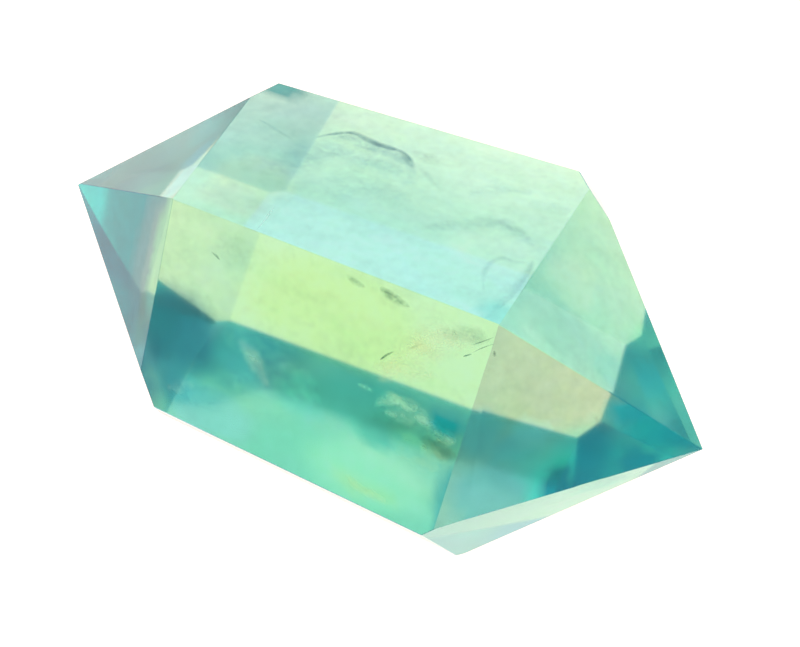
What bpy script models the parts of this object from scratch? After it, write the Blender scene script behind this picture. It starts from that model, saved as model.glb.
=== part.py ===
"""A double-ended quartz point, lying on one of its six long faces.

The crystal is a single solid: a slightly irregular hexagonal prism along X with a six-sided
pyramid at each end, and narrow flats along a few of the pyramids' edges. It is made the way a
lapidary makes it: a round blank is ground flat by flat. Lengths are in metres, +Z is up, the
blunter and larger end points to +X, and the origin is under the middle of the crystal, on the
surface that it lies on.
"""

import math

import bmesh
import bpy
from mathutils import Matrix, Vector

MM = 0.001

# The blank: a round bar along X, larger all round than the finished crystal.
BLANK_RADIUS = 22.0 * MM
BLANK_LENGTH = 66.0 * MM
BLANK_SIDES = 24

# Each flat is (bearing, lean, reach). Bearing goes round the long axis in degrees: 0 faces up,
# 90 faces the front (-Y) and 180 faces down. Lean tips the flat towards +X, or towards -X when
# it is negative. Reach is the distance in millimetres from the middle of the blank.
PRISM_FLATS = {
    "top": (0.0, -1.5, 11.1),
    "upper_front": (61.5, -1.5, 11.7),
    "lower_front": (123.5, -1.5, 14.4),
    "bottom": (180.0, 0.0, 12.3),
    "lower_back": (240.5, -2.5, 14.0),
    "upper_back": (301.5, -3.0, 13.8),
}
LEFT_PYRAMID_FLATS = {
    "top": (5.5, -36.0, 16.3),
    "upper_front": (62.5, -37.0, 16.2),
    "lower_front": (102.0, -40.5, 17.9),
    "bottom": (177.0, -35.0, 17.4),
    "lower_back": (244.0, -33.5, 17.7),
    "upper_back": (314.0, -40.0, 18.9),
    "back_crest": (342.0, -40.0, 18.2),
}
RIGHT_PYRAMID_FLATS = {
    "top": (357.5, 38.0, 18.2),
    "upper_front": (62.5, 37.5, 18.8),
    "lower_front": (124.5, 42.5, 20.2),
    "bottom": (195.0, 39.5, 18.7),
    "lower_back": (236.0, 46.0, 20.0),
    "upper_back": (300.0, 45.5, 20.0),
    "back_shoulder": (309.0, 36.5, 19.7),
    "lower_crest": (143.5, 45.0, 20.8),
}

AQUA = (0.33, 0.80, 0.70, 1.0)
POLISH_ROUGHNESS = 0.03
QUARTZ_IOR = 1.544


def clear_scene():
    for existing in list(bpy.data.objects):
        bpy.data.objects.remove(existing, do_unlink=True)


def aqua_quartz():
    material = bpy.data.materials.new("aqua_quartz")
    material.use_nodes = True
    shader = material.node_tree.nodes["Principled BSDF"]
    shader.inputs["Base Color"].default_value = AQUA
    shader.inputs["Metallic"].default_value = 0.0
    shader.inputs["Roughness"].default_value = POLISH_ROUGHNESS
    shader.inputs["IOR"].default_value = QUARTZ_IOR
    shader.inputs["Transmission Weight"].default_value = 1.0
    return material


def facing(bearing, lean):
    """The outward direction of a flat."""
    around = math.radians(bearing)
    along = math.radians(lean)
    return Vector((
        math.sin(along),
        -math.cos(along) * math.sin(around),
        math.cos(along) * math.cos(around),
    ))


def blank(name):
    """The round bar, lying along X with its middle at the origin."""
    bpy.ops.mesh.primitive_cylinder_add(
        vertices=BLANK_SIDES,
        radius=BLANK_RADIUS,
        depth=BLANK_LENGTH,
        end_fill_type="NGON",
        location=(0.0, 0.0, 0.0),
    )
    bar = bpy.context.object
    bar.name = name
    bar.data.name = name
    bar.data.transform(Matrix.Rotation(math.radians(90.0), 4, "Y"))
    return bar


def grind(bm, bearing, lean, reach):
    """Takes off all that stands outside one flat, and closes the cut with one face."""
    outward = facing(bearing, lean)
    cut = bmesh.ops.bisect_plane(
        bm,
        geom=bm.verts[:] + bm.edges[:] + bm.faces[:],
        plane_co=outward * reach * MM,
        plane_no=outward,
        clear_outer=True,
    )
    rim = [element for element in cut["geom_cut"] if isinstance(element, bmesh.types.BMEdge)]
    bmesh.ops.contextual_create(bm, geom=rim)


def rest_on_origin(bm):
    """Moves the crystal so that its lowest face lies at z = 0, centred over the origin."""
    corners = [vertex.co for vertex in bm.verts]
    lowest = Vector([min(corner[axis] for corner in corners) for axis in range(3)])
    highest = Vector([max(corner[axis] for corner in corners) for axis in range(3)])
    middle = (lowest + highest) / 2
    bmesh.ops.translate(bm, verts=bm.verts[:], vec=(-middle.x, -middle.y, -lowest.z))


def crystal(name):
    point = blank(name)
    bm = bmesh.new()
    bm.from_mesh(point.data)
    for flats in (PRISM_FLATS, LEFT_PYRAMID_FLATS, RIGHT_PYRAMID_FLATS):
        for bearing, lean, reach in flats.values():
            grind(bm, bearing, lean, reach)
    rest_on_origin(bm)
    bmesh.ops.recalc_face_normals(bm, faces=bm.faces[:])
    bm.to_mesh(point.data)
    bm.free()
    point.data.materials.append(aqua_quartz())
    return point


def main():
    clear_scene()
    part = bpy.data.collections.new("aqua_aura_quartz_point")
    bpy.context.scene.collection.children.link(part)
    point = crystal("quartz_point")
    for holder in list(point.users_collection):
        holder.objects.unlink(point)
    part.objects.link(point)


main()
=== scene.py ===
import math
import random

import bmesh
import bpy
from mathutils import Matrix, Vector, noise


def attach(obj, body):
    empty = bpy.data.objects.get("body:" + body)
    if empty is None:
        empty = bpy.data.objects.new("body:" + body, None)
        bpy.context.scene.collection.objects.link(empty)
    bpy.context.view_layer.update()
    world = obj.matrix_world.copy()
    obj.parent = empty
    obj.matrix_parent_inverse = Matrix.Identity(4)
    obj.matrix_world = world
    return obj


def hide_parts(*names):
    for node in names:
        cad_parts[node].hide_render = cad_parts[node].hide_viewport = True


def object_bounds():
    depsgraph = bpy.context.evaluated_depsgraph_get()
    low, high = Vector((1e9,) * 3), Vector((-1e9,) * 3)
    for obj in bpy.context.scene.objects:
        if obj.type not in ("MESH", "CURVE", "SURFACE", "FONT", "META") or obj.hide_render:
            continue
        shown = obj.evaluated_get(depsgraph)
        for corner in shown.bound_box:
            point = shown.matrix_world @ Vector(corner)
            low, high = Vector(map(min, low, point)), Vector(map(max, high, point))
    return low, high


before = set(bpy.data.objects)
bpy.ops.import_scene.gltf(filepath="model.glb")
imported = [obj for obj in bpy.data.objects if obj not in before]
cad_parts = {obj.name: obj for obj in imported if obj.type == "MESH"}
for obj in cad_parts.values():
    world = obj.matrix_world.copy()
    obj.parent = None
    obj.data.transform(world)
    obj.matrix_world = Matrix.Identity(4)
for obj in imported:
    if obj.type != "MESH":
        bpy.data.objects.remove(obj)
CAD_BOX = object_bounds()

MM = 0.001

# Camera, at the photograph's viewing angle
LENS_MM = 80.0
SENSOR_MM = 36.0
CAMERA_BEARING = 29.8
CAMERA_ELEVATION = 44.3
CAMERA_DISTANCE = 137.9 * MM
CAMERA_CLIP = (0.01, 10.0)
LOOK_AT = Vector((3.2, -0.6, 11.6)) * MM

# Quartz, its polish, and what it absorbs
QUARTZ_IOR = 1.544
POLISH_ROUGHNESS = 0.11
ABSORPTION_COLOUR = (0.0, 0.71, 0.81)
ABSORPTION_PER_METRE = 32.0
# What the film reflects: more blue than red
FILM_SHEEN = (0.35, 0.85, 1.00)

# Worn edges: the least and the most width of their flats
EDGE_WEAR = (0.03 * MM, 0.08 * MM)
WEAR_SEED = 4
# Three corners of the chip at the right end of the front edge, in millimetres
CORNER_CHIP = ((15.25, -8.35, 23.6), (15.65, -8.15, 23.4), (15.6, -8.9, 22.0))

# The tones laid on the crystal's surface, and what each lets through: partly the aura film's own
# tint, partly painted light and painted shade for the bright and dark zones seen through the
# crystal
CLEAR = (1.00, 1.00, 0.76)
FROST = (0.67, 0.90, 0.89)
LIME = (1.00, 1.00, 0.52)
CITRON = (1.00, 1.00, 0.34)
SEA = (0.42, 0.72, 0.48)
JADE = (1.00, 0.72, 0.45)
PETROL = (0.00, 0.12, 0.19)
OLIVE = (0.72, 0.80, 0.50)
CELADON = (0.68, 0.89, 0.61)
ROSE = (0.80, 0.56, 0.38)
PALE = (0.68, 1.00, 0.75)
MINT = (0.90, 1.00, 0.56)
MIST = (0.60, 0.76, 0.76)
LAGOON = (0.02, 0.92, 0.66)
TEAL = (0.32, 0.92, 0.55)
FERN = (0.28, 0.88, 0.45)
INK = (0.16, 0.28, 0.29)

# Each facet: the way that it faces, and the tone of most of its surface, which is the film's tint
# together with painted light and painted shade
FACETS = {
    "top": ((0.0, 0.0, 1.0), FROST),
    "front": ((0.0, -0.9, 0.5), LIME),
    "front_under": ((0.0, -0.8, -0.5), FROST),
    "base": ((0.0, 0.0, -1.0), CLEAR),
    "back_under": ((0.0, 0.9, -0.5), LIME),
    "back": ((0.0, 0.8, 0.5), SEA),
    "left_top": ((-0.6, -0.1, 0.8), JADE),
    # The left front facet's nearly black tone is painted shade for the dark zone seen through it,
    # over the film's tint
    "left_front": ((-0.6, -0.7, 0.4), PETROL),
    "left_front_under": ((-0.6, -0.8, -0.2), OLIVE),
    "left_base": ((-0.6, 0.0, -0.8), LIME),
    "left_back_under": ((-0.5, 0.8, -0.4), OLIVE),
    "left_back": ((-0.6, 0.6, 0.5), SEA),
    "right_top": ((0.6, 0.0, 0.8), CELADON),
    "right_front": ((0.6, -0.7, 0.4), ROSE),
    "right_front_under": ((0.7, -0.6, -0.4), PALE),
    "right_crest": ((0.7, -0.4, -0.6), FERN),
    "right_base": ((0.6, 0.2, -0.8), OLIVE),
    "right_back_under": ((0.7, 0.6, -0.4), PALE),
    "right_back": ((0.7, 0.6, 0.4), SEA),
}

# Where the tone changes, for a thicker or thinner film and for painted light and painted shade
# where bright and dark zones show through the crystal: facet, centre and reach in millimetres,
# tone
FILM_AND_PAINTED_LIGHT_PATCHES = (
    ("top", (4.0, -6.4, 23.5), (13.0, 2.6, 3.0), (0.75, 1.00, 0.95)),
    ("top", (14.4, -7.2, 23.7), (1.2, 1.2, 2.0), (0.32, 0.80, 0.82)),
    ("top", (-8.0, -3.0, 23.0), (3.0, 2.5, 3.0), CLEAR),
    ("top", (-8.0, -5.6, 23.2), (3.0, 1.6, 2.0), (0.70, 0.74, 0.72)),
    ("top", (-11.0, 5.0, 23.0), (4.5, 4.0, 3.0), MIST),
    ("top", (-12.3, 8.0, 23.0), (2.0, 1.4, 2.0), (0.03, 0.20, 0.25)),
    ("top", (11.5, -2.0, 23.6), (3.5, 2.0, 2.0), (0.90, 1.00, 1.00)),
    ("front", (5.5, -15.5, 9.5), (8.0, 3.0, 4.0), (0.68, 1.00, 0.50)),
    # The dark zone at the left of the front facet: painted shade for the dark seen through the
    # crystal there
    ("front", (-9.3, -12.0, 14.6), (4.0, 4.5, 3.2), INK),
    ("front", (-11.6, -14.2, 11.0), (2.0, 2.2, 4.0), (0.14, 0.22, 0.27)),
    ("front", (-5.2, -14.7, 10.4), (4.0, 2.0, 1.8), (1.00, 1.00, 0.75)),
    ("front", (-9.3, -14.1, 11.6), (1.5, 1.5, 1.3), (0.42, 0.48, 0.40)),
    ("front", (-2.6, -12.6, 15.0), (2.8, 2.5, 2.0), (0.85, 1.00, 0.65)),
    ("front", (2.2, -12.9, 14.2), (2.4, 2.0, 1.5), (0.50, 1.00, 0.60)),
    ("front", (3.0, -10.0, 20.5), (7.0, 4.0, 3.5), CITRON),
    ("front", (8.0, -12.6, 15.4), (5.5, 3.0, 1.9), TEAL),
    ("front", (10.8, -12.2, 16.2), (2.4, 1.5, 0.9), (0.44, 0.84, 0.53)),
    ("front", (8.4, -13.2, 14.1), (1.6, 1.5, 1.0), (0.20, 0.62, 0.38)),
    ("front", (13.8, -12.1, 16.6), (1.6, 2.0, 1.0), (0.00, 0.50, 0.56)),
    ("front", (14.0, -15.4, 10.2), (2.5, 1.5, 1.5), (0.70, 0.95, 0.50)),
    ("front", (8.8, -15.2, 10.1), (2.6, 1.0, 0.5), (1.00, 1.00, 0.36)),
    ("front", (15.1, -14.7, 11.2), (0.9, 2.2, 3.4), (0.10, 0.40, 0.36)),
    ("back", (0.5, 13.2, 16.0), (6.0, 3.0, 2.5), MINT),
    ("left_front", (-26.5, -1.5, 12.8), (4.0, 4.5, 5.0), (0.00, 0.40, 0.52)),
    ("left_front", (-19.8, -6.9, 11.8), (6.0, 5.0, 1.6), (0.00, 0.20, 0.28)),
    ("left_front", (-13.0, -12.4, 12.2), (1.8, 1.5, 1.6), (0.04, 0.26, 0.33)),
    ("left_front", (-13.3, -9.0, 17.5), (2.6, 4.8, 5.4), (0.05, 0.14, 0.20)),
    ("left_front", (-13.1, -9.0, 17.5), (1.3, 4.5, 5.0), (0.20, 0.22, 0.25)),
    ("left_front", (-12.2, -9.0, 18.5), (1.1, 4.0, 6.0), (0.40, 0.60, 0.33)),
    ("left_top", (-27.0, 0.5, 13.0), (3.2, 3.0, 3.0), (0.10, 0.62, 0.46)),
    ("left_top", (-18.6, -3.2, 18.6), (5.0, 1.8, 3.0), (0.45, 0.45, 0.35)),
    ("left_top", (-15.8, 1.7, 21.1), (1.8, 1.6, 1.5), (1.00, 1.00, 0.60)),
    ("left_top", (-13.9, -2.2, 22.2), (1.1, 2.0, 1.2), (0.95, 1.00, 0.80)),
    ("left_top", (-13.2, -4.6, 22.5), (1.6, 3.4, 1.2), FROST),
    ("right_top", (17.0, -2.0, 22.3), (2.2, 4.5, 2.0), (1.00, 1.00, 0.65)),
    ("right_top", (19.5, -4.2, 20.4), (5.5, 2.2, 4.0), (0.49, 0.72, 0.50)),
    ("right_top", (24.5, -0.5, 16.8), (4.0, 4.5, 2.0), (0.32, 0.94, 0.52)),
    ("right_top", (27.4, -1.8, 14.2), (1.8, 1.5, 1.5), (0.18, 0.76, 0.50)),
    ("right_top", (16.4, -3.4, 22.7), (1.2, 1.6, 1.2), (0.70, 0.86, 0.60)),
    ("right_top", (21.9, -3.6, 18.4), (1.6, 1.4, 1.6), (0.32, 0.68, 0.50)),
    ("right_front_under", (23.6, -6.6, 10.5), (2.4, 2.0, 1.6), (0.36, 0.82, 0.66)),
    ("right_crest", (14.0, -12.0, 3.2), (2.4, 2.8, 2.8), (0.12, 0.68, 0.38)),
    ("right_front", (17.8, -10.8, 15.0), (2.2, 1.5, 1.1), (0.37, 0.58, 0.55)),
    ("right_front", (18.7, -9.4, 16.2), (1.6, 1.2, 0.8), (0.80, 0.86, 0.75)),
    ("right_front", (16.0, -11.5, 16.2), (1.3, 1.6, 2.0), (0.45, 0.60, 0.52)),
    ("right_front", (23.0, -6.5, 9.4), (9.0, 9.0, 6.0), LAGOON),
    ("right_front", (21.2, -9.3, 11.8), (1.3, 1.4, 1.4), (0.00, 0.18, 0.28)),
    ("right_front", (17.2, -12.5, 11.3), (3.2, 3.2, 2.6), (0.28, 0.46, 0.44)),
    ("right_front", (25.0, -4.3, 15.7), (1.8, 1.5, 1.3), (0.03, 0.90, 0.60)),
    ("right_front", (23.8, -4.7, 16.3), (1.2, 1.5, 1.3), (0.02, 0.60, 0.60)),
    ("right_front", (25.4, -5.2, 12.6), (1.2, 1.5, 1.2), (0.00, 0.40, 0.48)),
    ("right_front", (26.6, -3.7, 14.2), (2.4, 1.8, 1.0), (0.03, 1.00, 0.62)),
)
# A patch is gone at this many times its reach, and fades over so much of it
PATCH_END = 1.3
PATCH_FADE = 0.6
# How far the outlines of the patches wander, and over what distance
PATCH_WANDER = 0.6 * MM
PATCH_WANDER_SCALE = 3.0 * MM
WANDER_SEED = 7
# The facets are divided this finely, for the film's tint and the painted light and shade laid
# with it
FILM_STEP = 0.8 * MM
# How many clouds and grains there are in a metre, along X, Y and Z
FILM_CLOUDS = (140.0, 320.0, 320.0)
FILM_GRAIN = (1100.0, 1100.0, 1100.0)
STROKE_GRAIN = (1500.0, 1500.0, 1500.0)
VEIL_GRAIN = (800.0, 1200.0, 1200.0)
# How finely each is broken up, in octaves, and how rough the finest octaves are
CLOUD_DETAIL = 3.0
GRAIN_DETAIL = 5.0
SHRED_DETAIL = 8.0
FILM_NOISE_ROUGHNESS = 0.6
SHRED_NOISE_ROUGHNESS = 0.75
# How much the film's hue drifts, and how much its strength varies
HUE_DRIFT = 0.25
CLOUD_DEPTH = 0.45
GRAIN_DEPTH = 0.45

# Tones of the inclusions
SMOKE = (0.10, 0.24, 0.34)
HAZE = (0.40, 0.58, 0.62)
MAUVE = (0.50, 0.42, 0.44)
MILK = (0.85, 1.00, 1.00)
SURF = (0.45, 1.00, 0.95)
CREAM = (1.00, 1.00, 0.95)
STRAW = (0.90, 1.00, 0.80)
MOSS = (0.10, 0.24, 0.20)
SAGE = (0.55, 0.72, 0.62)

# Strokes just under the polish, most of them inclusions and one a painted highlight: half width
# in millimetres, how much they hide, tone, and points along the middle in millimetres
STROKES = (
    # The dark arc under the top facet, and its knot
    (0.34, 0.62, SMOKE, (
        (-6.6, 3.6, 23.1), (-5.9, 4.4, 23.1), (-4.5, 5.4, 23.1), (-3.2, 5.3, 23.1),
        (-1.9, 5.1, 23.2), (-0.5, 5.2, 23.2), (0.4, 5.1, 23.2), (1.6, 4.3, 23.2))),
    (0.45, 0.45, SMOKE, ((-0.2, 5.2, 23.2), (0.9, 4.6, 23.2), (1.9, 3.8, 23.2))),
    # The outline of a healed fracture near the right end
    (0.34, 0.13, SMOKE, (
        (12.8, -5.7, 23.5), (12.0, -4.2, 23.5), (11.8, -3.0, 23.5), (12.2, -2.0, 23.5),
        (13.3, -1.9, 23.5), (14.2, -1.4, 23.5))),
    (0.40, 0.14, SMOKE, (
        (14.3, -1.1, 23.5), (14.6, -2.5, 23.5), (14.7, -4.3, 23.5), (14.5, -6.8, 23.5))),
    # Fine straight lines at the left end
    (0.22, 0.12, SMOKE, ((-12.0, 3.6, 22.8), (-10.1, 3.1, 22.9), (-8.1, 2.6, 22.9))),
    # A pale line on the top facet: a painted highlight, for the bright image of an edge of the
    # crystal seen through it
    (0.14, 0.80, CREAM, ((-4.7, -7.6, 23.0), (-4.8, -6.2, 23.0), (-5.0, -4.8, 23.0))),
    # A pale streak along the bottom of the front facet
    (0.55, 0.26, CREAM, (
        (6.9, -14.9, 10.4), (8.0, -15.2, 10.0), (9.2, -15.3, 9.9), (10.9, -15.4, 9.8))),
    # Needles
    (0.10, 1.00, MOSS, ((7.3, -10.5, 18.4), (7.7, -10.3, 18.9), (8.2, -10.0, 19.3))),
    (0.08, 1.00, MOSS, ((13.3, -9.4, 20.8), (13.6, -9.3, 21.0), (13.9, -9.2, 21.2))),
    (0.06, 0.50, MOSS, ((13.8, -9.2, 21.2), (14.5, -8.9, 21.8), (15.3, -8.6, 22.4))),
    (0.06, 0.60, MOSS, ((13.7, -8.9, 21.7), (14.4, -8.7, 22.2), (15.2, -8.4, 22.8))),
    (0.08, 0.60, MOSS, ((9.2, -9.8, 19.8), (9.7, -9.6, 20.2), (10.3, -9.4, 20.6))),
    (0.14, 0.55, MOSS, ((-7.9, -9.0, 20.7), (-7.4, -9.1, 20.6), (-7.0, -9.2, 20.4))),
    (0.14, 0.45, MOSS, ((15.2, -8.7, 21.8), (15.3, -8.8, 21.6), (15.4, -8.9, 21.4))),
)
# Smoky veils, and a veil of painted shade, in the same terms
VEILS = (
    # Shade around the arc, and hazes across the top facet
    (0.9, 0.45, HAZE, (
        (-5.9, 4.1, 22.9), (-4.2, 4.9, 22.9), (-1.9, 4.7, 23.0), (0.4, 4.6, 23.0),
        (2.4, 3.4, 23.0))),
    (0.4, 0.12, SMOKE, ((1.2, 4.7, 23.1), (2.8, 3.9, 23.1), (4.8, 2.6, 23.2))),
    (0.8, 0.28, MAUVE, ((0.5, 5.6, 23.0), (1.8, 5.6, 23.0), (3.2, 5.4, 23.0))),
    (1.6, 0.30, HAZE, ((-5.2, 3.0, 22.8), (-2.0, 3.0, 22.9), (0.1, 3.1, 22.9), (3.1, 2.4, 23.0))),
    (2.0, 0.34, HAZE, (
        (-10.4, -1.8, 22.6), (-7.0, -0.3, 22.7), (-5.9, 1.6, 22.8), (-4.2, 4.0, 22.9))),
    (2.2, 0.22, HAZE, (
        (-6.0, -2.8, 22.7), (-2.7, -0.7, 22.8), (0.8, 0.5, 22.9), (5.7, 1.3, 23.0))),
    # Wisps near the right end of the top facet
    (1.0, 0.24, SMOKE, (
        (5.7, -1.6, 23.1), (7.4, -0.4, 23.1), (9.7, 1.1, 23.2), (10.8, 1.5, 23.2),
        (12.6, 1.3, 23.2))),
    (0.6, 0.22, SMOKE, ((10.8, 1.4, 23.3), (12.1, 1.1, 23.3), (13.9, 0.1, 23.3))),
    (0.9, 0.14, SMOKE, ((11.0, 4.4, 23.2), (12.8, 4.8, 23.3), (14.4, 4.9, 23.3))),
    (0.8, 0.14, SMOKE, ((6.6, 3.2, 23.1), (8.4, 4.8, 23.1), (11.2, 5.8, 23.2))),
    (0.6, 0.14, SMOKE, ((14.2, -0.8, 23.3), (14.5, -3.5, 23.3), (14.2, -7.2, 23.3))),
    # Dark smudges along the top edge of the front facet
    (0.30, 0.40, MOSS, ((3.2, -8.2, 22.9), (4.0, -8.4, 22.7), (4.9, -8.4, 22.6))),
    (0.45, 0.80, MOSS, ((5.9, -8.2, 23.0), (7.0, -8.4, 22.7), (8.6, -8.5, 22.5))),
    (1.8, 0.14, MOSS, ((-8.0, -8.6, 21.6), (-5.8, -8.7, 21.4), (-3.8, -8.9, 21.2))),
    # Painted shade along the soft edge of the dark zone, and milky plumes, at the left of the
    # front facet
    (0.6, 0.30, HAZE, (
        (-11.2, -11.2, 17.2), (-9.8, -11.2, 17.1), (-8.5, -11.2, 16.9), (-7.3, -11.3, 16.6),
        (-6.1, -11.5, 16.4))),
    (1.5, 0.24, SURF, (
        (-7.4, -14.5, 10.8), (-6.2, -14.3, 11.3), (-4.8, -14.1, 11.8), (-3.6, -13.9, 12.3))),
    (1.4, 0.26, SURF, (
        (-1.8, -12.5, 15.0), (-0.6, -12.7, 14.7), (0.8, -12.8, 14.6), (2.4, -12.9, 14.4),
        (3.8, -12.9, 14.3))),
    (0.9, 0.42, MILK, (
        (-4.2, -11.6, 15.9), (-2.7, -12.1, 15.1), (-1.8, -12.4, 14.4), (-0.8, -12.9, 13.5))),
    (0.7, 0.14, MILK, ((-9.4, -14.3, 10.4), (-8.2, -14.1, 10.9), (-6.8, -13.8, 11.5))),
    (1.4, 0.18, SURF, (
        (-6.1, -11.6, 15.6), (-2.0, -11.7, 15.5), (0.1, -11.9, 15.3), (3.3, -12.1, 15.1))),
    (1.8, 0.16, SURF, (
        (-8.5, -13.7, 11.3), (-5.0, -13.4, 12.1), (-2.1, -13.2, 12.6), (2.0, -13.1, 13.0))),
    # Pale feathers under the needles
    (1.8, 0.60, CREAM, (
        (7.5, -11.4, 17.0), (9.1, -10.3, 19.2), (10.1, -9.7, 20.4), (11.6, -9.1, 21.4),
        (14.2, -8.6, 22.3))),
    (1.0, 0.50, CREAM, ((6.8, -10.9, 17.8), (8.9, -10.6, 18.4), (12.0, -10.3, 18.9))),
    (0.9, 0.26, MOSS, ((11.2, -8.9, 21.7), (13.1, -8.6, 22.2), (15.0, -8.6, 22.4))),
    # The clump of moss and straw at the right of the front facet
    (2.0, 0.42, SAGE, (
        (9.0, -12.9, 14.5), (11.0, -12.9, 14.5), (13.0, -13.0, 14.3), (14.9, -13.1, 14.2))),
    (0.9, 0.32, MOSS, (
        (7.5, -12.6, 15.0), (9.0, -12.6, 15.0), (10.2, -12.6, 15.1), (11.4, -12.4, 15.5))),
    (1.0, 0.62, MOSS, (
        (11.5, -12.7, 15.0), (12.9, -12.8, 14.8), (14.0, -12.9, 14.7), (15.0, -12.9, 14.6))),
    (0.8, 0.80, CREAM, (
        (7.8, -12.4, 15.5), (8.4, -12.0, 16.2), (9.2, -11.9, 16.5), (10.3, -11.9, 16.5),
        (11.4, -12.1, 16.3), (12.5, -12.2, 16.0), (13.4, -12.3, 15.8))),
    (0.6, 0.70, CREAM, ((8.6, -12.4, 15.5), (9.8, -12.3, 15.7), (11.3, -12.4, 15.5))),
    (0.8, 0.75, STRAW, (
        (12.0, -12.2, 16.0), (12.9, -12.4, 15.6), (13.8, -12.4, 15.6), (14.6, -12.4, 15.7))),
    (0.8, 0.40, STRAW, (
        (10.2, -12.9, 14.7), (11.6, -13.0, 14.5), (12.8, -13.1, 14.4), (14.2, -13.1, 14.3))),
    (0.3, 0.45, CREAM, ((6.1, -11.8, 16.5), (6.8, -11.8, 16.5), (7.5, -11.8, 16.5))),
    (0.4, 0.55, CREAM, ((8.2, -11.7, 16.7), (9.0, -11.7, 16.7), (9.8, -11.7, 16.6))),
    # A mauve haze in the right front facet
    (0.7, 0.22, MAUVE, ((21.9, -6.0, 16.2), (22.6, -5.7, 15.5), (23.4, -5.4, 15.0))),
)
# Half the most thickness of an inclusion, and how deep under the polish it stays
THICKEST = 0.10 * MM
LEAST_DEPTH = 0.05 * MM
# It is so thick for its half width, and its width wobbles by so much, over so far
LENS_BULGE = 0.15
LENS_WOBBLE = 0.35
WOBBLE_SCALE = 0.8 * MM
# Its section, from one rim to the other, and its steps from one point to the next
LENS_ACROSS = (-1.0, -0.75, -0.5, -0.25, 0.0, 0.25, 0.5, 0.75, 1.0)
PATH_PARTS = 6
# Noise shreds it, from its thinnest to its full strength, between these levels
SHRED_LEVELS = (0.34, 0.72)
STROKE_THINNEST = 0.40
VEIL_THINNEST = 0.10
STROKE_SWIRL = 0.0
VEIL_SWIRL = 0.4

# Mesh work: points this close are one, faces this flat are one, and how near a cut may pass
WELD = 0.01 * MM
FLAT_WITHIN = math.radians(0.5)
CUT_SNAP = 0.0001 * MM

# Studio: a white sky, brighter overhead and behind, and a lit table that fades away outwards
SKY_LEVEL = 0.86
SKY_SLOPE = (-0.05, 0.15, 0.35)
SKY_TINT = (1.0, 1.0, 1.0)
TABLE_SIZE = 0.6
TABLE_DROP = 0.02 * MM
TABLE_COLOUR = (0.3, 0.3, 0.3)
TABLE_ROUGHNESS = 0.7
TABLE_GLOW = 1.12
TABLE_TINT = (1.0, 0.8, 0.74)
TABLE_GLOW_FADES = (0.10, 0.17)
TABLE_GLOW_FAR = 0.25

# Light may meet this many surfaces in the crystal, and cross this many veils
CROSSINGS = 32
VEILS_CROSSED = 64


def new_material(name):
    material = bpy.data.materials.new(name)
    material.use_nodes = True
    material.node_tree.nodes.clear()
    return material, material.node_tree


def mottle(tree, grain, detail, roughness):
    """Soft noise with so many patches a metre along X, Y and Z."""
    where = tree.nodes.new("ShaderNodeTexCoord")
    stretch = tree.nodes.new("ShaderNodeVectorMath")
    stretch.operation = "MULTIPLY"
    stretch.inputs[1].default_value = grain
    clouds = tree.nodes.new("ShaderNodeTexNoise")
    clouds.inputs["Scale"].default_value = 1.0
    clouds.inputs["Detail"].default_value = detail
    clouds.inputs["Roughness"].default_value = roughness
    tree.links.new(where.outputs["Object"], stretch.inputs[0])
    tree.links.new(stretch.outputs["Vector"], clouds.inputs["Vector"])
    return clouds


def vary(tree, colour, clouds, amount):
    """A colour times a soft noise that averages one."""
    spread = tree.nodes.new("ShaderNodeVectorMath")
    spread.operation = "MULTIPLY_ADD"
    spread.inputs[1].default_value = (amount, amount, amount)
    spread.inputs[2].default_value = (1.0 - amount / 2,) * 3
    product = tree.nodes.new("ShaderNodeVectorMath")
    product.operation = "MULTIPLY"
    tree.links.new(clouds, spread.inputs[0])
    tree.links.new(spread.outputs["Vector"], product.inputs[0])
    tree.links.new(colour, product.inputs[1])
    return product.outputs["Vector"]


def aqua_quartz():
    """Clear quartz that absorbs a little, under a film whose tone, with painted light and painted
    shade, is in the mesh.
    """
    material, tree = new_material("aqua_quartz")
    output = tree.nodes.new("ShaderNodeOutputMaterial")
    shader = tree.nodes.new("ShaderNodeBsdfPrincipled")
    # The film tones in the mesh carry painted light and painted shade as well as the film's own
    # tint
    film = tree.nodes.new("ShaderNodeVertexColor")
    film.layer_name = "film"
    clouds = mottle(tree, FILM_CLOUDS, CLOUD_DETAIL, FILM_NOISE_ROUGHNESS)
    grain = mottle(tree, FILM_GRAIN, GRAIN_DETAIL, FILM_NOISE_ROUGHNESS)
    tone = vary(tree, film.outputs["Color"], clouds.outputs["Color"], HUE_DRIFT)
    tone = vary(tree, tone, clouds.outputs["Fac"], CLOUD_DEPTH)
    tone = vary(tree, tone, grain.outputs["Fac"], GRAIN_DEPTH)
    limit = tree.nodes.new("ShaderNodeVectorMath")
    limit.operation = "MINIMUM"
    limit.inputs[1].default_value = (1.0, 1.0, 1.0)
    tree.links.new(tone, limit.inputs[0])
    tree.links.new(limit.outputs["Vector"], shader.inputs["Base Color"])
    shader.inputs["Roughness"].default_value = POLISH_ROUGHNESS
    shader.inputs["IOR"].default_value = QUARTZ_IOR
    shader.inputs["Transmission Weight"].default_value = 1.0
    shader.inputs["Specular Tint"].default_value = (*FILM_SHEEN, 1.0)
    tree.links.new(shader.outputs["BSDF"], output.inputs["Surface"])
    inside = tree.nodes.new("ShaderNodeVolumeAbsorption")
    inside.inputs["Color"].default_value = (*ABSORPTION_COLOUR, 1.0)
    inside.inputs["Density"].default_value = ABSORPTION_PER_METRE
    tree.links.new(inside.outputs["Volume"], output.inputs["Volume"])
    return material


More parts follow.
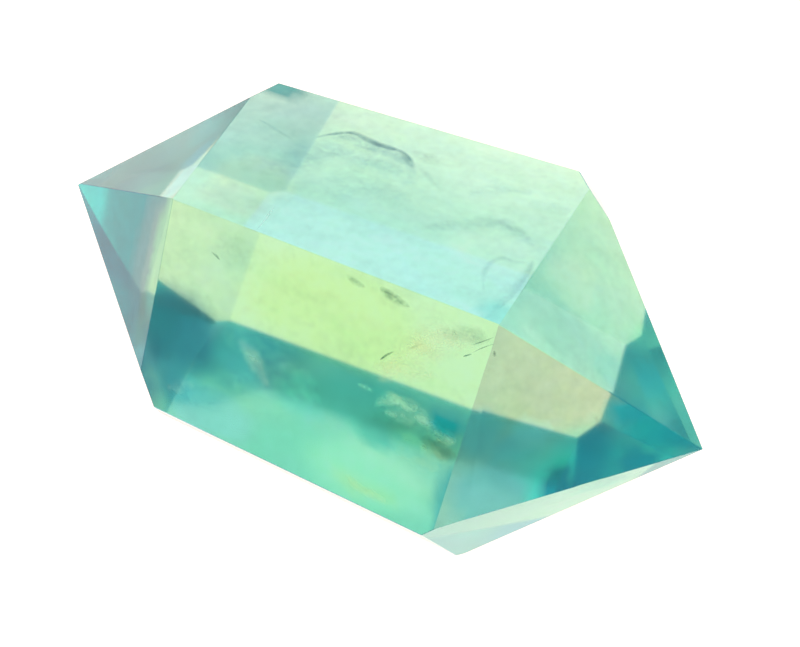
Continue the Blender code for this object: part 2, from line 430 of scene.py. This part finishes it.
def inclusion_material(name, grain, swirl, thinnest):
    """A dull veil, shredded by noise, whose tone and strength are in the mesh."""
    material, tree = new_material(name)
    output = tree.nodes.new("ShaderNodeOutputMaterial")
    shader = tree.nodes.new("ShaderNodeBsdfPrincipled")
    cloud = tree.nodes.new("ShaderNodeVertexColor")
    cloud.layer_name = "cloud"
    wisps = mottle(tree, grain, SHRED_DETAIL, SHRED_NOISE_ROUGHNESS)
    wisps.inputs["Distortion"].default_value = swirl
    shred = tree.nodes.new("ShaderNodeMapRange")
    shred.interpolation_type = "SMOOTHSTEP"
    shred.inputs["From Min"].default_value = SHRED_LEVELS[0]
    shred.inputs["From Max"].default_value = SHRED_LEVELS[1]
    shred.inputs["To Min"].default_value = thinnest
    alpha = tree.nodes.new("ShaderNodeMath")
    alpha.operation = "MULTIPLY"
    tree.links.new(wisps.outputs["Fac"], shred.inputs["Value"])
    tree.links.new(shred.outputs["Result"], alpha.inputs[0])
    tree.links.new(cloud.outputs["Alpha"], alpha.inputs[1])
    tree.links.new(alpha.outputs["Value"], shader.inputs["Alpha"])
    tree.links.new(cloud.outputs["Color"], shader.inputs["Base Color"])
    shader.inputs["Roughness"].default_value = 1.0
    shader.inputs["Specular IOR Level"].default_value = 0.0
    tree.links.new(shader.outputs["BSDF"], output.inputs["Surface"])
    return material


def soft(value):
    """Eases from 0 to 1."""
    value = min(max(value, 0.0), 1.0)
    return value * value * (3.0 - 2.0 * value)


def facet_of(normal):
    """The name of the facet that faces most nearly this way."""
    return max(FACETS, key=lambda name: Vector(FACETS[name][0]).normalized().dot(normal))


def film_and_painted_light_tone(facet, point):
    """The tone at a point of a facet, the film's tint with painted light and shade: each patch
    lies over the ones before it.
    """
    tone = Vector(FACETS[facet][1])
    wandering = point + noise.noise_vector(point / PATCH_WANDER_SCALE) * PATCH_WANDER
    for name, centre, reach, patch in FILM_AND_PAINTED_LIGHT_PATCHES:
        if name != facet:
            continue
        away = Vector((wandering[i] / MM - centre[i]) / reach[i] for i in range(3)).length
        tone = tone.lerp(Vector(patch), soft((PATCH_END - away) / PATCH_FADE))
    return tone


def lay_film_and_painted_light(mesh):
    """Gives every corner of the mesh the tone there: the film's tint, with painted light and
    shade.
    """
    noise.seed_set(WANDER_SEED)
    layer = mesh.color_attributes.new("film", "FLOAT_COLOR", "CORNER")
    for polygon in mesh.polygons:
        facet = facet_of(polygon.normal)
        for corner, vertex in zip(polygon.loop_indices, polygon.vertices):
            layer.data[corner].color = (*film_and_painted_light_tone(facet, mesh.vertices[vertex].co), 1.0)


def wear_edges(bm):
    """Grinds a narrow flat along every edge."""
    chance = random.Random(WEAR_SEED)
    edges = []
    for edge in bm.edges:
        left, right = edge.link_faces
        outward = (left.normal + right.normal).normalized()
        bend = left.normal.angle(right.normal)
        middle = (edge.verts[0].co + edge.verts[1].co) / 2
        edges.append((middle, outward, bend))
    for middle, outward, bend in edges:
        width = chance.uniform(*EDGE_WEAR)
        depth = width / 2 * math.tan(bend / 2)
        cut(bm, middle - outward * depth, outward)


def cut(bm, point, outward):
    """Takes off all that is outside a plane, and closes the cut."""
    everything = bm.verts[:] + bm.edges[:] + bm.faces[:]
    made = bmesh.ops.bisect_plane(
        bm, geom=everything, dist=CUT_SNAP, plane_co=point, plane_no=outward, clear_outer=True
    )
    rim = [part for part in made["geom_cut"] if isinstance(part, bmesh.types.BMEdge)]
    if rim:
        bmesh.ops.contextual_create(bm, geom=rim)


def chip_corner(bm):
    """Breaks off the small chip."""
    a, b, c = (Vector(corner) * MM for corner in CORNER_CHIP)
    outward = (b - a).cross(c - a).normalized()
    if outward.dot(a) < 0:
        outward.negate()
    cut(bm, a, outward)


def score(bm):
    """Divides the facets, without bending them, so that the film's tint and the painted light and
    shade can vary across them.
    """
    low, high = CAD_BOX
    for axis in range(3):
        direction = Vector((0.0, 0.0, 0.0))
        direction[axis] = 1.0
        for step in range(1, int((high[axis] - low[axis]) / FILM_STEP) + 1):
            everything = bm.verts[:] + bm.edges[:] + bm.faces[:]
            place = direction * (low[axis] + step * FILM_STEP)
            bmesh.ops.bisect_plane(
                bm, geom=everything, dist=CUT_SNAP, plane_co=place, plane_no=direction
            )


def crystal():
    """The quartz, with worn edges and its film, whose tones carry painted light and shade."""
    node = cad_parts["quartz_point"]
    mesh = node.data.copy()
    piece = bpy.data.objects.new("crystal", mesh)
    bpy.context.scene.collection.objects.link(piece)
    bm = bmesh.new()
    bm.from_mesh(mesh)
    bmesh.ops.remove_doubles(bm, verts=bm.verts[:], dist=WELD)
    bmesh.ops.dissolve_limit(
        bm, angle_limit=FLAT_WITHIN, verts=bm.verts[:], edges=bm.edges[:]
    )
    wear_edges(bm)
    chip_corner(bm)
    score(bm)
    bmesh.ops.recalc_face_normals(bm, faces=bm.faces[:])
    bm.to_mesh(mesh)
    bm.free()
    mesh.materials.clear()
    mesh.materials.append(aqua_quartz())
    for polygon in mesh.polygons:
        polygon.use_smooth = False
    lay_film_and_painted_light(mesh)
    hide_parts("quartz_point")
    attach(piece, "root")


def smooth_path(points):
    """A Catmull-Rom curve through the points."""
    ends = [points[0] * 2 - points[1], *points, points[-1] * 2 - points[-2]]
    path = []
    for a, b, c, d in zip(ends, ends[1:], ends[2:], ends[3:]):
        for part in range(PATH_PARTS):
            t = part / PATH_PARTS
            path.append(
                (b * 2 + (c - a) * t + (a * 2 - b * 5 + c * 4 - d) * t ** 2
                 + (b * 3 - a - c * 3 + d) * t ** 3) / 2
            )
    path.append(points[-1])
    return path


def under_polish(point, depth):
    """The point, moved inwards until it is at least so deep under every facet."""
    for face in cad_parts["quartz_point"].data.polygons:
        short = depth - face.normal.dot(face.center - point)
        if short > 0.0:
            point = point - face.normal * short
    return point


def lens(bm, layer, path, half_width, hides, tone, outward):
    """A closed, thin, tapering lens along a path; it hides most along its middle."""
    upper = [(u, 1.0) for u in LENS_ACROSS]
    lower = [(u, -1.0) for u in LENS_ACROSS[-2:0:-1]]
    ring_of = upper + lower
    rings = []
    last = len(path) - 1
    for index, point in enumerate(path[1:-1], start=1):
        along = (path[index + 1] - path[index - 1]).normalized()
        side = along.cross(outward).normalized()
        taper = math.sin(math.pi * index / last) ** 0.5
        wobble = 1.0 + LENS_WOBBLE * noise.noise(point / WOBBLE_SCALE)
        half = half_width * taper * wobble
        ring = []
        for u, face in ring_of:
            bulge = min(LENS_BULGE * half, THICKEST) * (1.0 - u * u) * face
            place = point + side * half * u + outward * bulge
            vertex = bm.verts.new(under_polish(place, LEAST_DEPTH))
            vertex[layer] = (*tone, hides * taper * (1.0 - u * u) ** 2)
            ring.append(vertex)
        rings.append(ring)
    tips = []
    for point in (path[0], path[-1]):
        tip = bm.verts.new(point)
        tip[layer] = (*tone, 0.0)
        tips.append(tip)
    count = len(ring_of)
    faces = []
    for near, far in zip(rings, rings[1:]):
        for i in range(count):
            j = (i + 1) % count
            faces.append(bm.faces.new((near[i], near[j], far[j], far[i])))
    for tip, ring in ((tips[0], rings[0]), (tips[1], rings[-1])):
        for i in range(count):
            faces.append(bm.faces.new((tip, ring[i], ring[(i + 1) % count])))
    return faces


def facet_over(point):
    """The direction of the facet that is nearest to a point inside the crystal."""
    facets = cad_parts["quartz_point"].data.polygons
    return min(facets, key=lambda face: face.normal.dot(face.center - point)).normal


def inclusions():
    """All that the photograph shows inside the crystal, with a painted highlight and a veil of
    painted shade, as one piece.
    """
    mesh = bpy.data.meshes.new("inclusions")
    piece = bpy.data.objects.new("inclusions", mesh)
    bpy.context.scene.collection.objects.link(piece)
    bm = bmesh.new()
    layer = bm.verts.layers.float_color.new("cloud")
    for kind, forms in enumerate((STROKES, VEILS)):
        for half_width, hides, tone, points in forms:
            path = smooth_path([Vector(point) * MM for point in points])
            outward = facet_over(path[len(path) // 2])
            path = [under_polish(point, THICKEST + LEAST_DEPTH) for point in path]
            for face in lens(bm, layer, path, half_width * MM, hides, tone, outward):
                face.material_index = kind
    bmesh.ops.recalc_face_normals(bm, faces=bm.faces[:])
    bm.to_mesh(mesh)
    bm.free()
    strokes = inclusion_material("strokes", STROKE_GRAIN, STROKE_SWIRL, STROKE_THINNEST)
    veils = inclusion_material("veils", VEIL_GRAIN, VEIL_SWIRL, VEIL_THINNEST)
    mesh.materials.append(strokes)
    mesh.materials.append(veils)
    for polygon in mesh.polygons:
        polygon.use_smooth = True
    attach(piece, "root")


def floor():
    bpy.ops.mesh.primitive_plane_add(size=TABLE_SIZE, location=(0.0, 0.0, -TABLE_DROP))
    sheet = bpy.context.object
    sheet.name = "floor"
    material, tree = new_material("pale_floor")
    output = tree.nodes.new("ShaderNodeOutputMaterial")
    shader = tree.nodes.new("ShaderNodeBsdfPrincipled")
    shader.inputs["Base Color"].default_value = (*TABLE_COLOUR, 1.0)
    shader.inputs["Roughness"].default_value = TABLE_ROUGHNESS
    shader.inputs["Emission Color"].default_value = (*TABLE_TINT, 1.0)
    where = tree.nodes.new("ShaderNodeTexCoord")
    radius = tree.nodes.new("ShaderNodeVectorMath")
    radius.operation = "LENGTH"
    fade = tree.nodes.new("ShaderNodeMapRange")
    fade.interpolation_type = "SMOOTHSTEP"
    fade.inputs["From Min"].default_value = TABLE_GLOW_FADES[0]
    fade.inputs["From Max"].default_value = TABLE_GLOW_FADES[1]
    fade.inputs["To Min"].default_value = TABLE_GLOW
    fade.inputs["To Max"].default_value = TABLE_GLOW * TABLE_GLOW_FAR
    tree.links.new(where.outputs["Object"], radius.inputs[0])
    tree.links.new(radius.outputs["Value"], fade.inputs["Value"])
    tree.links.new(fade.outputs["Result"], shader.inputs["Emission Strength"])
    tree.links.new(shader.outputs["BSDF"], output.inputs["Surface"])
    sheet.data.materials.append(material)


def studio():
    world = bpy.data.worlds.new("studio")
    world.use_nodes = True
    tree = world.node_tree
    tree.nodes.clear()
    output = tree.nodes.new("ShaderNodeOutputWorld")
    glow = tree.nodes.new("ShaderNodeBackground")
    where = tree.nodes.new("ShaderNodeTexCoord")
    slope = tree.nodes.new("ShaderNodeVectorMath")
    slope.operation = "DOT_PRODUCT"
    slope.inputs[1].default_value = SKY_SLOPE
    level = tree.nodes.new("ShaderNodeMath")
    level.operation = "ADD"
    level.inputs[1].default_value = SKY_LEVEL
    glow.inputs["Color"].default_value = (*SKY_TINT, 1.0)
    tree.links.new(where.outputs["Generated"], slope.inputs[0])
    tree.links.new(slope.outputs["Value"], level.inputs[0])
    tree.links.new(level.outputs["Value"], glow.inputs["Strength"])
    tree.links.new(glow.outputs["Background"], output.inputs["Surface"])
    bpy.context.scene.world = world


def camera():
    optics = bpy.data.cameras.new("camera")
    optics.lens = LENS_MM
    optics.sensor_width = SENSOR_MM
    optics.clip_start, optics.clip_end = CAMERA_CLIP
    eye = bpy.data.objects.new("camera", optics)
    bearing = math.radians(CAMERA_BEARING)
    rise = math.radians(CAMERA_ELEVATION)
    back = Vector((
        math.sin(bearing) * math.cos(rise),
        -math.cos(bearing) * math.cos(rise),
        math.sin(rise),
    ))
    eye.location = LOOK_AT + back * CAMERA_DISTANCE
    eye.rotation_euler = (-back).to_track_quat("-Z", "Y").to_euler()
    bpy.context.scene.collection.objects.link(eye)
    bpy.context.scene.camera = eye


def light_paths_and_colour():
    """Plain colour, and enough bounces for light to find its way through the crystal."""
    scene = bpy.context.scene
    scene.view_settings.view_transform = "Standard"
    scene.view_settings.look = "None"
    scene.cycles.max_bounces = CROSSINGS
    scene.cycles.transmission_bounces = CROSSINGS
    scene.cycles.glossy_bounces = CROSSINGS
    scene.cycles.transparent_max_bounces = VEILS_CROSSED
    scene.cycles.blur_glossy = 0.0


camera()
floor()
studio()
light_paths_and_colour()
crystal()
inclusions()
